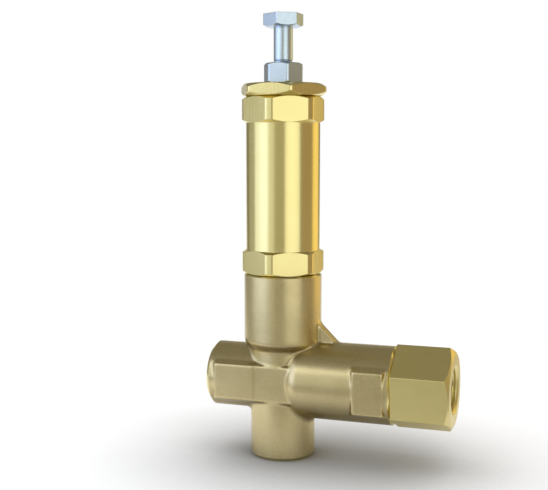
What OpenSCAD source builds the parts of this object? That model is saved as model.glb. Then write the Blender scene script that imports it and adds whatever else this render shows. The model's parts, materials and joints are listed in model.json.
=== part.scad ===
// Pressure relief valve of the unloader kind. A brass body has an inlet arm, an outlet arm and
// a bypass port below, and a spring housing with an adjusting screw stands on top of it.
// The origin is the centre of the bypass port's face. +Z runs up the spring housing,
// +X points out of the outlet and -Y is the front. Lengths are in millimetres.

/* [Body] */
// Height of the arms' axis above the face of the bypass port
arm_height = 38.4; // [37:0.2:44]
// Diameter of the neck around the bypass port
neck_d = 31.4; // [28:0.2:34]
// Bevel around the neck's lower edge
neck_bevel = 1.6; // [0.5:0.1:2.5]
// Diameter of the column
column_d = 37.8; // [36:0.2:44]
// Height of the column's top above the arms' axis
column_rise = 51.9; // [49:0.1:60]
// How far the inlet arm's top reaches into the column's lower end
shoulder_sink = 0.5; // [0.2:0.1:4]
// Radius of the rounding around the column's lower end
shoulder_round = 3; // [1:0.1:5]
// Diameter of the inlet arm
inlet_arm_d = 31.8; // [28:0.2:34]
// Reach of the inlet arm from the column's axis
inlet_reach = 34.9; // [32:0.1:42]
// Bevel around the inlet arm's end
inlet_bevel = 1.6; // [0.3:0.1:2.2]
// Diameter of the outlet arm
outlet_arm_d = 37.7; // [36:0.1:44]
// Where the outlet arm starts, from the column's axis
outlet_start = 5.6; // [2:0.1:10]
// Reach of the outlet arm from the column's axis
outlet_reach = 57.6; // [54:0.1:66]
// Bevel around the outlet arm's end
outlet_bevel = 1.2; // [0.3:0.1:1.6]
// Radius of the rounding around the outlet arm's start
outlet_round = 6.5; // [2:0.1:8]
// Distance from the crossing of the axes at which the rib's slope meets each axis
rib_reach = 47.1; // [44:0.1:52]
// Thickness of the rib
rib_t = 6; // [4.5:0.1:10]

/* [Pads] */
// How far the flat pads stand out past the arms
pad_proud = 0.35; // [0.2:0.05:2]
// Angle that the pads' sides lean in by
pad_draft = 20; // [2:1:24]
// How far the pads' middles lie below the arms' axis
pad_drop = 0.7; // [0:0.1:2]
// Height of the inlet arm's pads
inlet_pad_h = 17.5; // [10:0.1:20]
// Length of bare arm between the inlet arm's end and its pads
inlet_pad_from_end = 4.7; // [2:0.1:10]
// Height of the outlet arm's pads
outlet_pad_h = 20.5; // [10:0.1:24]
// Length of the outlet arm's pads
outlet_pad_len = 14.2; // [8:0.1:20]
// Length of bare arm between the outlet arm's end and its pads
outlet_pad_from_end = 3.6; // [2:0.1:8]

/* [Ports] */
// Diameter over the thread of the inlet, outlet and bypass ports, half inch pipe thread
port_d = 20.96; // [16.6:0.02:22]
// Depth of the threaded ports
port_depth = 15.5; // [13:0.1:16.5]
// Diameter of the ways between the ports and the chamber
way_d = 15; // [10:0.1:17]
// Length of the cone between a port and its way
port_cone = 1.5; // [0.5:0.1:2]
// Diameter of the pilot hole between the outlet and the piston
pilot_d = 2.5; // [1.5:0.1:3]

/* [Relief valve] */
// Diameter of the throat below the relief seat
throat_d = 11; // [8:0.1:13]
// Length of the throat below the relief seat
throat_h = 6.5; // [5:0.1:8]
// Diameter of the relief seat's pocket
seat_d = 18; // [16:0.1:18.8]
// Height of the relief seat
seat_h = 6; // [4.5:0.1:6.5]
// Diameter of the hole in the relief seat
seat_bore_d = 10; // [7:0.1:10.6]
// Diameter of the chamber where the arms and the column meet
chamber_d = 19.2; // [18:0.1:20.4]
// Height of the chamber's top above the arms' axis
chamber_rise = 15.1; // [13:0.1:18]
// Diameter of the relief poppet
poppet_d = 14; // [11:0.1:15]
// Height of the relief poppet
poppet_h = 8; // [6:0.1:9]
// Length of the relief poppet's nose inside the seat
poppet_nose_h = 2.5; // [1:0.1:3.5]
// Diameter of the spigot that holds the relief poppet on the stem
spigot_d = 4.8; // [3:0.1:5.5]
// Length of that spigot
spigot_h = 5.5; // [3:0.1:5.8]
// Distance that the relief poppet lifts
relief_lift = 3; // [1.5:0.1:4]

/* [Piston] */
// Diameter of the stem below the piston
stem_d = 7; // [6:0.1:9]
// Diameter of the piston
piston_d = 12; // [11:0.1:13.4]
// Height of the piston
piston_h = 12; // [10:0.1:13]
// Diameter of the rod above the piston
rod_d = 8.4; // [6:0.1:10]
// Diameter of the pocket for the stem guide and the piston sleeve
guide_d = 22; // [21:0.1:23]
// Height of the stem guide
guide_h = 8; // [6:0.1:10]
// Height of the pilot space below the piston
pilot_h = 5.5; // [4.8:0.1:7]
// Diameter of the pilot space below the piston
pilot_space_d = 16; // [14.6:0.1:17]
// Length of the sleeve's bore that the piston slides in
sleeve_bore_h = 9.5; // [9:0.1:11]
// Diameter of the sleeve's flange
flange_d = 26.4; // [24:0.1:28.6]
// Height of the sleeve's flange
flange_h = 4.2; // [2.5:0.1:4.6]
// Height of the pilot groove around the sleeve
pilot_groove_h = 3.6; // [2.8:0.1:4]
// Depth of the pilot groove around the sleeve
pilot_groove_depth = 1.2; // [0.5:0.1:1.5]
// Number of pilot holes through the sleeve
pilot_holes = 4; // [2:1:6]

/* [Spring housing] */
// Diameter over the thread of the housing's stub and of the outlet fitting
joint_thread_d = 30; // [29:0.1:31.6]
// Width across the flats of the housing's hexagons
housing_af = 36; // [35.9:0.1:40]
// Diameter that the housing's hexagon corners are turned to
housing_corner_d = 39.8; // [38:0.1:42]
// Height of the housing's lower hexagon
lower_hex_h = 11.8; // [8:0.1:16]
// Outer diameter of the housing's tube
tube_d = 35.8; // [34:0.1:35.8]
// Length of the housing's tube
tube_h = 61.1; // [56:0.1:75]
// Height of the housing's upper hexagon
upper_hex_h = 12.5; // [10:0.1:16]
// Angle of the housing's hexagons about the axis
housing_turn = 28.7; // [0:0.1:60]
// Diameter of the spring space
spring_space_d = 27.4; // [26.8:0.1:27.8]
// Height of the spring space's floor above the column's top
floor_rise = 1.2; // [0:0.1:4]
// Diameter of the hole through the housing's stub
stub_bore_d = 18; // [12:0.1:20]

/* [Setting spring] */
// Diameter of the main spring's wire
wire_d = 4.8; // [3:0.1:5]
// Mean diameter of the main spring's coils
coil_d = 21; // [20.2:0.1:21.4]
// Gap between the main spring's working coils
coil_gap = 1.4; // [0.8:0.1:3]
// Gap between the coils at a spring's ends
end_gap = 0.6; // [0.5:0.05:1]
// Thickness of the spring plates
plate_t = 5; // [4:0.1:6.5]
// Diameter of the spring plates
plate_d = 26.6; // [25:0.1:26.7]
// Diameter of the bosses that centre the main spring
boss_d = 15.4; // [12:0.1:15.6]
// Height of those bosses
boss_h = 5.5; // [2:0.1:8]
// Depth of the sockets in the spring plates
socket_depth = 2.5; // [1:0.1:3]
// Room between the lower plate and the spring space's floor
plate_room = 1; // [0.4:0.1:2]

/* [Cap, screw and lock nut] */
// Width across the flats of the top cap
cap_af = 38; // [34:0.1:40]
// Diameter that the cap's corners are turned to
cap_corner_d = 43.2; // [39:0.1:43.6]
// Height of the cap's hexagon
cap_h = 6; // [4:0.1:10]
// Angle of the cap's hexagon about the axis
cap_turn = 58; // [0:0.1:60]
// Diameter over the thread of the cap's plug
plug_d = 28.6; // [28:0.1:31]
// Length of the cap's plug
plug_h = 12.3; // [8:0.1:14]
// Diameter over the adjusting screw's thread
screw_d = 10; // [8:0.1:11]
// Diameter of the screw's smooth shank
shank_d = 9.2; // [7:0.1:9.9]
// Length of smooth shank and thread between the lock nut and the head
shank_show = 16.9; // [12:0.1:25]
// Length of thread above the lock nut
thread_show = 1.4; // [0.5:0.1:6]
// Width across the flats of the screw's head
head_af = 17; // [15:0.1:19]
// Height of the screw's head
head_h = 6.2; // [5:0.1:9]
// Angle of the screw's head about the axis
head_turn = 29.4; // [0:0.1:60]
// Width across the flats of the lock nut
nut_af = 17; // [15:0.1:19]
// Height of the lock nut
nut_h = 9.8; // [5:0.1:12]
// Angle of the lock nut about the axis
nut_turn = 1.2; // [0:0.1:60]
// Distance that the adjusting screw can be backed off
screw_travel = 9; // [4:0.5:11]
// Room left between the cap's plug and the upper spring plate when the screw is backed off
plug_room = 2.4; // [1:0.1:4]

/* [Check valve] */
// Where the check seat's pocket starts, from the column's axis
check_seat_at = 18; // [16:0.1:19]
// Thickness of the check seat
check_seat_t = 4.5; // [4:0.1:5]
// Diameter of the check seat's pocket
check_seat_d = 22; // [21:0.1:23.5]
// Diameter of the hole in the check seat
check_bore_d = 12.4; // [9:0.1:13.4]
// Diameter of the check valve's chamber
check_chamber_d = 24; // [23.6:0.1:25]
// Diameter of the check poppet
check_poppet_d = 17.8; // [17.4:0.1:19]
// Thickness of the check poppet's head
check_head_t = 5; // [4:0.1:6]
// Length of the check poppet's nose inside the seat
check_nose_h = 2.5; // [1:0.1:3.5]
// Diameter of the check poppet's stem
check_stem_d = 6; // [4:0.1:7]
// Distance that the check poppet opens
check_lift = 4; // [2:0.1:5]
// Diameter of the check spring's wire
check_wire_d = 1; // [0.8:0.1:1.2]
// Mean diameter of the check spring's coils
check_coil_d = 10; // [9.4:0.1:11]
// Gap between the check spring's working coils
check_coil_gap = 1.6; // [1.2:0.1:3]

/* [Outlet fitting] */
// Width across the flats of the outlet fitting
fitting_af = 36; // [34:0.1:41]
// Length of the outlet fitting's hexagon
fitting_len = 27.2; // [24:0.1:36]
// Angle of the outlet fitting's hexagon about the arms' axis
fitting_turn = 6.6; // [0:0.1:60]
// Distance from the fitting's flats in to the edge of its end face
fitting_ease = 1; // [0.2:0.1:2]
// Length of the outlet fitting's thread in the arm
fitting_thread_len = 14; // [11:0.1:16]
// Thickness of the web that guides the check poppet
web_t = 4; // [3:0.1:6]
// Diameter of the outlet fitting's inner way
fitting_way_d = 18; // [16:0.1:19]
// Diameter of the flow holes through the web
flow_hole_d = 4.6; // [3:0.1:4.8]
// Wall left between the stem's hole and the flow holes
flow_wall = 1.4; // [1:0.1:1.8]
// Number of flow holes through the web
flow_holes = 6; // [4:1:6]

/* [Fits and edges] */
// Radial clearance of sliding pieces
run_fit = 0.04; // [0.02:0.01:0.08]
// Radial clearance of threads, which are drawn as plain cylinders
thread_fit = 0.05; // [0.02:0.01:0.08]
// Radial clearance of seats, sleeves and guides that are fitted by hand
seat_fit = 0.03; // [0.02:0.01:0.06]
// Diameter of the O-rings' cord
seal_cord = 1.8; // [1.5:0.05:2]
// Clearance around an O-ring in its groove
seal_fit = 0.03; // [0.01:0.01:0.06]
// Spare width of a groove beside its O-ring
groove_spare = 0.4; // [0.2:0.05:0.5]
// Thickness of the piston's back-up ring
backup_t = 1.2; // [0.8:0.1:1.5]
// Clear room kept between moving pieces that don't touch
free_room = 0.3; // [0.2:0.05:0.6]
// Bevel of turned edges
edge = 0.6; // [0.2:0.1:1]
// Inset of a hexagon's turned face from its flats
hex_ease = 0.5; // [0.2:0.1:1]

/* [Hidden] */
$fn = 96;
hex_bevel_angle = 30;
arc_steps = 8;
over = 1;
spring_sides = 8;
spring_steps = 16;

brass = [0.80, 0.69, 0.38];
forged_brass = [0.72, 0.65, 0.46];
plated_steel = [0.74, 0.78, 0.84];
spring_steel = [0.35, 0.36, 0.38];
stainless = [0.66, 0.67, 0.68];
seal_black = [0.07, 0.07, 0.07];
ring_white = [0.92, 0.91, 0.86];

z_top = arm_height + column_rise;
z_seat = port_depth + throat_h;
z_seat_top = z_seat + seat_h;
z_guide = arm_height + chamber_rise;
z_sleeve = z_guide + guide_h;
z_piston = z_sleeve + pilot_h;
z_stub = z_piston + sleeve_bore_h;
z_flange = z_stub - flange_h;
z_pilot = z_sleeve + pilot_h / 2;
z_floor = z_top + floor_rise;
z_plate = z_floor + plate_room;
z_spring = z_plate + plate_t;
z_tube = z_top + lower_hex_h;
z_upper_hex = z_tube + tube_h;
z_housing_top = z_upper_hex + upper_hex_h;
z_plug = z_housing_top - plug_h;
z_spring_top = z_plug - plug_room - screw_travel - plate_t;
z_tip = z_spring_top + plate_t - socket_depth;
z_cap_top = z_housing_top + cap_h;
z_nut_top = z_cap_top + nut_h;
z_head = z_nut_top + shank_show;

x_check = check_seat_at + check_seat_t;
x_head_back = x_check + check_head_t;
x_nose = outlet_reach - fitting_thread_len;
x_web = x_nose + web_t;
x_outlet_end = outlet_reach + fitting_len;

piston_bore_r = piston_d / 2 + run_fit;
stem_bore_r = stem_d / 2 + run_fit;
groove_w = seal_cord + groove_spare;
groove_depth = seal_cord + 2 * seal_fit;
inlet_pad_y = inlet_arm_d / 2 + pad_proud;
outlet_pad_y = outlet_arm_d / 2 + pad_proud;
inlet_pad_x = inlet_pad_from_end - inlet_reach;
outlet_pad_x = outlet_reach - outlet_pad_from_end - outlet_pad_len;

// Points of an arc about [cx, cy], from angle a0 to angle a1
function arc(cx, cy, r, a0, a1) =
    [for (i = [0:arc_steps]) let (a = a0 + (a1 - a0) * i / arc_steps) [cx + r * cos(a), cy + r * sin(a)]];

// Height of a spring's centre line after t turns, with one closer turn at each end
function coil_rise(t, turns, pitch, end_pitch) =
    t < 1 ? end_pitch * t :
    t > turns - 1 ? end_pitch + pitch * (turns - 2) + end_pitch * (t - turns + 1) :
    end_pitch + pitch * (t - 1);

// Turned diameter that clears a hexagon's corners, so that they stay sharp
function sharp_d(af) = af / cos(30) + over;

// Number of working turns, in half turns, that fit a length at a wished pitch
function working_turns(length, wire, gap) =
    max(1, floor(2 * (length - wire - 2 * (wire + end_gap)) / (wire + gap)) / 2);

// Solid of revolution about Z from points [radius, height]
module turned(points) {
    rotate_extrude()
        polygon(points);
}

// Places what is drawn along Z on the arms' axis, so that Z becomes +X
module along_arms() {
    translate([0, 0, arm_height])
        rotate([0, 90, 0])
            children();
}

// Hexagon bar whose corners are turned down and whose ends may be bevelled
module turned_hex(af, corner_d, h, turn, bevel_bottom = true, bevel_top = true, ease = hex_ease) {
    corner_r = corner_d / 2;
    face_r = af / 2 - ease;
    bevel_h = (corner_r - face_r) * tan(hex_bevel_angle);
    r0 = bevel_bottom ? face_r : corner_r;
    h0 = bevel_bottom ? bevel_h : 0;
    r1 = bevel_top ? face_r : corner_r;
    h1 = bevel_top ? h - bevel_h : h;
    outline = concat(
        [[0, 0], [r0, 0]],
        bevel_bottom ? [[corner_r, h0]] : [],
        bevel_top ? [[corner_r, h1]] : [],
        [[r1, h], [0, h]]
    );
    intersection() {
        rotate(turn)
            cylinder(d = af / cos(30), h = h, $fn = 6);
        turned(outline);
    }
}

// O-ring whose outer side lies in a bore
module ring_in_bore(bore_r, z) {
    translate([0, 0, z])
        rotate_extrude()
            translate([bore_r - seal_fit - seal_cord / 2, 0])
                circle(d = seal_cord);
}

// Groove for an O-ring around the outside of a turned piece, for a ring that fits a bore
module outer_groove(bore_r, z, w = groove_w) {
    translate([0, 0, z - w / 2])
        difference() {
            cylinder(r = bore_r + over, h = w);
            translate([0, 0, -over])
                cylinder(r = bore_r - groove_depth, h = w + 2 * over);
        }
}

// Coil spring standing on Z = 0, one unbroken wire
module coil(mean_d, wire, length, gap) {
    active = working_turns(length, wire, gap);
    turns = active + 2;
    end_pitch = wire + end_gap;
    pitch = (length - wire - 2 * end_pitch) / active;
    rings = ceil(turns * spring_steps);
    points = [
        for (i = [0:rings])
            let (t = turns * i / rings, rise = wire / 2 + coil_rise(t, turns, pitch, end_pitch))
                for (j = [0:spring_sides - 1])
                    let (b = 360 * j / spring_sides, r = (mean_d + wire * cos(b)) / 2)
                        [r * cos(360 * t), r * sin(360 * t), rise + wire / 2 * sin(b)]
    ];
    last = rings * spring_sides;
    sides = [
        for (i = [0:rings - 1])
            for (j = [0:spring_sides - 1])
                let (p = i * spring_sides + j, q = i * spring_sides + (j + 1) % spring_sides)
                    for (f = [[p, q, p + spring_sides], [q, q + spring_sides, p + spring_sides]]) f
    ];
    start_cap = [for (k = [1:spring_sides - 2]) [0, k + 1, k]];
    end_cap = [for (k = [1:spring_sides - 2]) [last, last + k, last + k + 1]];
    gaps = [
        for (i = [0:rings - spring_steps])
            let (next = min(rings, i + spring_steps))
                for (j = [0:spring_sides - 1])
                    for (k = [0:spring_sides - 1])
                        norm(points[i * spring_sides + j] - points[next * spring_sides + k])
    ];
    echo(least_gap_between_turns = min(gaps), turns = turns);
    polyhedron(points = points, faces = concat(sides, start_cap, end_cap));
}

// Flat pads on the front and the back of an arm
module pads(x0, x1, h, y) {
    lean = y * tan(pad_draft);
    outline = [[-y, -h / 2], [-y, h / 2], [0, h / 2 + lean], [y, h / 2], [y, -h / 2], [0, -h / 2 - lean]];
    translate([x0, 0, arm_height - pad_drop])
        rotate([90, 0, 90])
            linear_extrude(x1 - x0)
                polygon(outline);
}

module column_form() {
    r = column_d / 2;
    z0 = arm_height + inlet_arm_d / 2 - shoulder_sink;
    turned(concat(
        [[0, z0]],
        arc(r - shoulder_round, z0 + shoulder_round, shoulder_round, -90, 0),
        [[r, z_top - edge], [r - edge, z_top], [0, z_top]]
    ));
}

module neck_form() {
    r = neck_d / 2;
    turned([[0, 0], [r - neck_bevel, 0], [r, neck_bevel], [r, z_guide], [0, z_guide]]);
}

module inlet_arm_form() {
    r = inlet_arm_d / 2;
    inner_end = outlet_start + outlet_round;
    along_arms()
        turned([
            [0, -inlet_reach], [r - inlet_bevel, -inlet_reach], [r, -inlet_reach + inlet_bevel],
            [r, inner_end], [0, inner_end]
        ]);
}

module outlet_arm_form() {
    r = outlet_arm_d / 2;
    start_round = arc(outlet_start + outlet_round, r - outlet_round, outlet_round, 180, 90);
    along_arms()
        turned(concat(
            [[0, outlet_start]],
            [for (p = start_round) [p[1], p[0]]],
            [[r, outlet_reach - outlet_bevel], [r - outlet_bevel, outlet_reach], [0, outlet_reach]]
        ));
}

module rib() {
    translate([0, rib_t / 2, arm_height])
        rotate([90, 0, 0])
            linear_extrude(rib_t)
                polygon([[0, 0], [rib_reach, 0], [0, rib_reach]]);
}

module main_bore() {
    port_r = port_d / 2;
    turned([
        [0, -over], [port_r, -over], [port_r, port_depth], [throat_d / 2, port_depth + port_cone],
        [throat_d / 2, z_seat], [seat_d / 2, z_seat], [seat_d / 2, z_seat_top],
        [chamber_d / 2, z_seat_top], [chamber_d / 2, z_guide], [guide_d / 2, z_guide],
        [guide_d / 2, z_flange], [flange_d / 2, z_flange], [flange_d / 2, z_stub],
        [joint_thread_d / 2, z_stub], [joint_thread_d / 2, z_top + over], [0, z_top + over]
    ]);
}

module arm_bore() {
    port_r = port_d / 2;
    inner = -inlet_reach + port_depth;
    x_thread = x_nose - free_room;
    along_arms()
        turned([
            [0, -inlet_reach - over], [port_r, -inlet_reach - over], [port_r, inner],
            [way_d / 2, inner + port_cone], [way_d / 2, check_seat_at], [check_seat_d / 2, check_seat_at],
            [check_seat_d / 2, x_check], [check_chamber_d / 2, x_check], [check_chamber_d / 2, x_thread],
            [joint_thread_d / 2, x_thread], [joint_thread_d / 2, outlet_reach + over],
            [0, outlet_reach + over]
        ]);
}

// Slanted hole from the pilot groove down to the check valve's chamber
module pilot_hole() {
    drop = z_pilot - arm_height - check_chamber_d / 2;
    start = guide_d / 2 - over;
    translate([start, 0, z_pilot + over])
        rotate([0, 135, 0])
            cylinder(d = pilot_d, h = (drop + 3 * over) * sqrt(2));
}

module valve_body() {
    color(forged_brass)
        difference() {
            union() {
                column_form();
                neck_form();
                inlet_arm_form();
                outlet_arm_form();
                pads(inlet_pad_x, outlet_start + outlet_round, inlet_pad_h, inlet_pad_y);
                pads(outlet_pad_x, outlet_pad_x + outlet_pad_len, outlet_pad_h, outlet_pad_y);
                rib();
            }
            main_bore();
            arm_bore();
            pilot_hole();
        }
}

module spring_housing() {
    stub_r = joint_thread_d / 2 - thread_fit;
    color(brass)
        difference() {
            union() {
                translate([0, 0, z_top])
                    turned_hex(housing_af, housing_corner_d, lower_hex_h, housing_turn);
                translate([0, 0, z_upper_hex])
                    turned_hex(housing_af, housing_corner_d, upper_hex_h, housing_turn);
                turned([
                    [0, z_stub], [stub_r - edge, z_stub], [stub_r, z_stub + edge], [stub_r, z_top + edge],
                    [tube_d / 2, z_top + edge], [tube_d / 2, z_upper_hex + edge], [0, z_upper_hex + edge]
                ]);
            }
            turned([
                [0, z_stub - over], [stub_bore_d / 2, z_stub - over], [stub_bore_d / 2, z_floor],
                [spring_space_d / 2, z_floor], [spring_space_d / 2, z_plug - free_room],
                [plug_d / 2, z_plug - free_room], [plug_d / 2, z_housing_top + over],
                [0, z_housing_top + over]
            ]);
        }
}

module top_cap() {
    plug_r = plug_d / 2 - thread_fit;
    color(brass)
        difference() {
            union() {
                translate([0, 0, z_housing_top])
                    turned_hex(cap_af, cap_corner_d, cap_h, cap_turn);
                turned([
                    [0, z_plug], [plug_r - edge, z_plug], [plug_r, z_plug + edge],
                    [plug_r, z_housing_top + edge], [0, z_housing_top + edge]
                ]);
            }
            translate([0, 0, z_plug - over])
                cylinder(r = screw_d / 2 + thread_fit, h = z_cap_top - z_plug + 2 * over);
        }
}

module adjusting_screw() {
    r = screw_d / 2;
    shank_r = shank_d / 2;
    z_thread_end = z_nut_top + thread_show;
    color(plated_steel) {
        turned([
            [0, z_tip], [r - edge, z_tip], [r, z_tip + edge], [r, z_thread_end],
            [shank_r, z_thread_end + r - shank_r], [shank_r, z_head + edge], [0, z_head + edge]
        ]);
        translate([0, 0, z_head])
            turned_hex(head_af, sharp_d(head_af), head_h, head_turn, true, false);
    }
}

module lock_nut() {
    hole_r = screw_d / 2 + thread_fit;
    color(plated_steel)
        difference() {
            translate([0, 0, z_cap_top])
                turned_hex(nut_af, nut_af / cos(30) - hex_ease, nut_h, nut_turn);
            turned([
                [0, z_cap_top - over], [hole_r + edge + over, z_cap_top - over], [hole_r, z_cap_top + edge],
                [hole_r, z_nut_top - edge], [hole_r + edge + over, z_nut_top + over], [0, z_nut_top + over]
            ]);
        }
}

// Spring plate with its boss on the spring's side and a socket on the other
module spring_plate(socket_r) {
    r = plate_d / 2;
    boss_r = boss_d / 2;
    turned([
        [socket_r, 0], [r - edge, 0], [r, edge], [r, plate_t], [boss_r, plate_t],
        [boss_r, plate_t + boss_h - edge], [boss_r - edge, plate_t + boss_h], [0, plate_t + boss_h],
        [0, socket_depth], [socket_r, socket_depth]
    ]);
}

module upper_spring_plate() {
    color(stainless)
        translate([0, 0, z_spring_top + plate_t])
            mirror([0, 0, 1])
                spring_plate(screw_d / 2 + free_room);
}

module lower_spring_plate() {
    color(stainless)
        translate([0, 0, z_plate])
            spring_plate(rod_d / 2 + free_room);
}

module main_spring() {
    color(spring_steel)
        translate([0, 0, z_spring])
            coil(coil_d, wire_d, z_spring_top - z_spring, coil_gap);
}

z_piston_groove = z_piston + piston_h / 2;

module piston() {
    r = piston_d / 2;
    stem_r = stem_d / 2;
    rod_r = rod_d / 2;
    z_poppet_top = z_seat_top + poppet_h;
    spigot_r = spigot_d / 2;
    z_rod_top = z_plate + socket_depth;
    color(stainless)
        difference() {
            turned([
                [0, z_poppet_top - spigot_h], [spigot_r, z_poppet_top - spigot_h], [spigot_r, z_poppet_top],
                [stem_r, z_poppet_top], [stem_r, z_piston], [r - edge, z_piston], [r, z_piston + edge],
                [r, z_piston + piston_h - edge], [r - edge, z_piston + piston_h],
                [rod_r, z_piston + piston_h],
                [rod_r, z_rod_top - edge], [rod_r - edge, z_rod_top], [0, z_rod_top]
            ]);
            outer_groove(piston_bore_r, z_piston_groove, groove_w + backup_t);
        }
}

module piston_o_ring() {
    color(seal_black)
        ring_in_bore(piston_bore_r, z_piston_groove - backup_t / 2);
}

module piston_backup_ring() {
    outer_r = piston_bore_r - seal_fit;
    inner_r = piston_bore_r - groove_depth + seal_fit;
    z0 = z_piston_groove + (groove_w + backup_t) / 2 - seal_fit - backup_t;
    color(ring_white)
        turned([[inner_r, z0], [outer_r, z0], [outer_r, z0 + backup_t], [inner_r, z0 + backup_t]]);
}

z_sleeve_groove = (z_pilot + pilot_groove_h / 2 + z_flange) / 2;

module piston_sleeve() {
    r = guide_d / 2 - seat_fit;
    flange_r = flange_d / 2 - seat_fit;
    groove_r = r - pilot_groove_depth;
    color(stainless)
        difference() {
            turned([
                [pilot_space_d / 2, z_sleeve], [r, z_sleeve], [r, z_pilot - pilot_groove_h / 2],
                [groove_r, z_pilot - pilot_groove_h / 2], [groove_r, z_pilot + pilot_groove_h / 2],
                [r, z_pilot + pilot_groove_h / 2], [r, z_flange], [flange_r, z_flange], [flange_r, z_stub],
                [piston_bore_r, z_stub], [piston_bore_r, z_piston], [pilot_space_d / 2, z_piston]
            ]);
            outer_groove(guide_d / 2, z_sleeve_groove);
            for (i = [0:pilot_holes - 1])
                rotate(i * 360 / pilot_holes)
                    translate([0, 0, z_pilot])
                        rotate([0, 90, 0])
                            cylinder(d = pilot_d, h = r + over);
        }
}

module sleeve_o_ring() {
    color(seal_black)
        ring_in_bore(guide_d / 2, z_sleeve_groove);
}

z_guide_groove = z_guide + guide_h / 2;

module stem_guide() {
    r = guide_d / 2 - seat_fit;
    color(brass)
        difference() {
            turned([
                [stem_bore_r, z_guide], [r - edge, z_guide], [r, z_guide + edge],
                [r, z_sleeve], [stem_bore_r, z_sleeve]
            ]);
            outer_groove(guide_d / 2, z_guide_groove);
            translate([0, 0, z_guide_groove - groove_w / 2])
                cylinder(r = stem_d / 2 + groove_depth, h = groove_w);
        }
}

module guide_outer_o_ring() {
    color(seal_black)
        ring_in_bore(guide_d / 2, z_guide_groove);
}

module guide_inner_o_ring() {
    color(seal_black)
        ring_in_bore(stem_d / 2 + groove_depth, z_guide_groove);
}

module relief_poppet() {
    r = poppet_d / 2;
    nose_r = seat_bore_d / 2 - free_room;
    hole_r = spigot_d / 2 + seat_fit;
    z1 = z_seat_top + poppet_h;
    color(stainless)
        turned([
            [0, z_seat_top - poppet_nose_h], [nose_r - edge, z_seat_top - poppet_nose_h],
            [nose_r, z_seat_top - poppet_nose_h + edge], [nose_r, z_seat_top], [r, z_seat_top],
            [r, z1 - edge], [r - edge, z1], [hole_r, z1], [hole_r, z1 - spigot_h], [0, z1 - spigot_h]
        ]);
}

z_seat_groove = z_seat + seat_h / 2;

module relief_seat() {
    r = seat_d / 2 - seat_fit;
    bore_r = seat_bore_d / 2;
    color(stainless)
        difference() {
            turned([[bore_r, z_seat], [r, z_seat], [r, z_seat_top], [bore_r, z_seat_top]]);
            outer_groove(seat_d / 2, z_seat_groove);
        }
}

module relief_seat_o_ring() {
    color(seal_black)
        ring_in_bore(seat_d / 2, z_seat_groove);
}

x_fitting_groove = outlet_reach - groove_w;

module outlet_fitting() {
    thread_r = joint_thread_d / 2 - thread_fit;
    way_r = fitting_way_d / 2;
    port_r = port_d / 2;
    x_port = x_outlet_end - port_depth;
    hub_r = check_stem_d / 2 + run_fit;
    flow_r = hub_r + flow_wall + flow_hole_d / 2;
    color(brass)
        along_arms()
            difference() {
                union() {
                    translate([0, 0, outlet_reach])
                        turned_hex(
                            fitting_af, sharp_d(fitting_af), fitting_len, fitting_turn,
                            false, true, fitting_ease
                        );
                    turned([
                        [0, x_nose], [thread_r - edge, x_nose], [thread_r, x_nose + edge],
                        [thread_r, outlet_reach + edge], [0, outlet_reach + edge]
                    ]);
                }
                turned([
                    [0, x_web], [way_r, x_web], [way_r, x_port - port_cone], [port_r, x_port],
                    [port_r, x_outlet_end + over], [0, x_outlet_end + over]
                ]);
                translate([0, 0, x_nose - over])
                    cylinder(r = hub_r, h = web_t + 2 * over);
                for (i = [0:flow_holes - 1])
                    rotate(i * 360 / flow_holes)
                        translate([flow_r, 0, x_nose - over])
                            cylinder(d = flow_hole_d, h = web_t + 2 * over);
                outer_groove(joint_thread_d / 2, x_fitting_groove);
            }
}

module fitting_o_ring() {
    color(seal_black)
        along_arms()
            ring_in_bore(joint_thread_d / 2, x_fitting_groove);
}

check_ring_r = (check_bore_d + check_poppet_d) / 4 + seal_cord / 2 + seal_fit;

module check_poppet() {
    r = check_poppet_d / 2;
    nose_r = check_bore_d / 2 - free_room;
    stem_r = check_stem_d / 2;
    ring_out = check_ring_r;
    ring_in = check_ring_r - groove_depth;
    color(stainless)
        along_arms()
            turned([
                [0, x_check - check_nose_h], [nose_r - edge, x_check - check_nose_h],
                [nose_r, x_check - check_nose_h + edge], [nose_r, x_check], [ring_in, x_check],
                [ring_in, x_check + groove_depth], [ring_out, x_check + groove_depth], [ring_out, x_check],
                [r, x_check], [r, x_head_back], [stem_r, x_head_back], [stem_r, x_web - edge],
                [stem_r - edge, x_web], [0, x_web]
            ]);
}

module check_poppet_o_ring() {
    color(seal_black)
        along_arms()
            ring_in_bore(check_ring_r, x_check + seal_cord / 2 + seal_fit);
}

module check_spring() {
    color(spring_steel)
        along_arms()
            translate([0, 0, x_head_back])
                coil(check_coil_d, check_wire_d, x_nose - x_head_back, check_coil_gap);
}

x_check_groove = check_seat_at + check_seat_t / 2;

module check_seat() {
    r = check_seat_d / 2 - seat_fit;
    bore_r = check_bore_d / 2;
    color(stainless)
        along_arms()
            difference() {
                turned([[bore_r, check_seat_at], [r, check_seat_at], [r, x_check], [bore_r, x_check]]);
                outer_groove(check_seat_d / 2, x_check_groove);
            }
}

module check_seat_o_ring() {
    color(seal_black)
        along_arms()
            ring_in_bore(check_seat_d / 2, x_check_groove);
}

valve_body();
spring_housing();
top_cap();
adjusting_screw();
lock_nut();
upper_spring_plate();
main_spring();
lower_spring_plate();
piston();
piston_o_ring();
piston_backup_ring();
piston_sleeve();
sleeve_o_ring();
stem_guide();
guide_outer_o_ring();
guide_inner_o_ring();
relief_poppet();
relief_seat();
relief_seat_o_ring();
outlet_fitting();
fitting_o_ring();
check_poppet();
check_poppet_o_ring();
check_spring();
check_seat();
check_seat_o_ring();
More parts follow.
